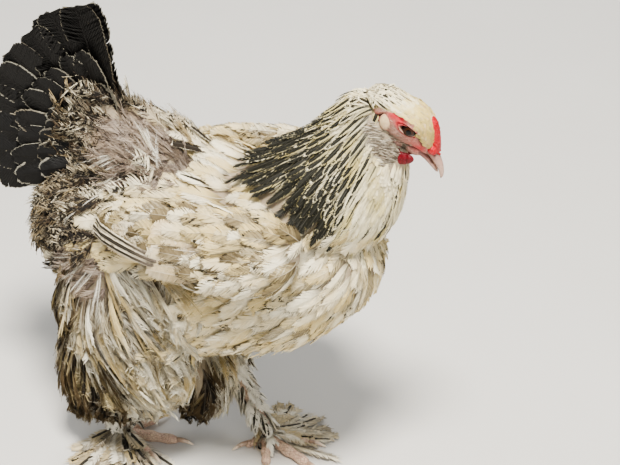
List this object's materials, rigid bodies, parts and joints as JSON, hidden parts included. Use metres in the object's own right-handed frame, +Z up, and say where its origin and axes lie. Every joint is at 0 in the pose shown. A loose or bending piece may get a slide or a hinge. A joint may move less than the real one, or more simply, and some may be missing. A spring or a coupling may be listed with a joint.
{
  "type": "brahma hen",
  "caption": "Heavy feather-footed hen in mid-stride: laced neck cape, upright dark tail fan, pea comb, fluffy thighs and bare-skinned red face, standing on both feet.",
  "frame": {"origin": "on the floor, under the middle of the model's bounding box", "axes": "+X the way the hen faces, +Y to the hen's left, +Z up"},
  "size_m": [0.4518, 0.2318, 0.46],
  "materials": {
    "bill_horn": "smooth horn",
    "claw_horn": "smooth horn",
    "comb_skin": "waxy red skin",
    "face_skin": "soft bare skin",
    "eye": "wet and clear",
    "toe_scale": "dry scales",
    "plumage": "matt cream feathers",
    "hackle": "cream feathers with black centres",
    "leg_feather": "stiff cream and tan feathers",
    "tail_feather": "black feathers with a low sheen"
  },
  "bodies": {
    "root": {"beak_lower": "bill_horn", "beak_upper": "bill_horn", "claw_left_hallux": "claw_horn", "claw_left_inner": "claw_horn", "claw_left_middle": "claw_horn", "claw_left_outer": "claw_horn", "claw_right_hallux": "claw_horn", "claw_right_inner": "claw_horn", "claw_right_middle": "claw_horn", "claw_right_outer": "claw_horn", "comb": "comb_skin", "earlobe_left": "face_skin", "earlobe_right": "face_skin", "eye_left": "eye", "eye_right": "eye", "foot_left": "toe_scale", "foot_right": "toe_scale", "head": "plumage", "neck": "hackle", "shank_left": "leg_feather", "shank_right": "leg_feather", "tail": "tail_feather", "thigh_left": "plumage", "thigh_right": "plumage", "torso": "plumage", "wattle_left": "comb_skin", "wattle_right": "comb_skin", "wing_left": "plumage", "wing_right": "plumage"}
  },
  "joints": []
}
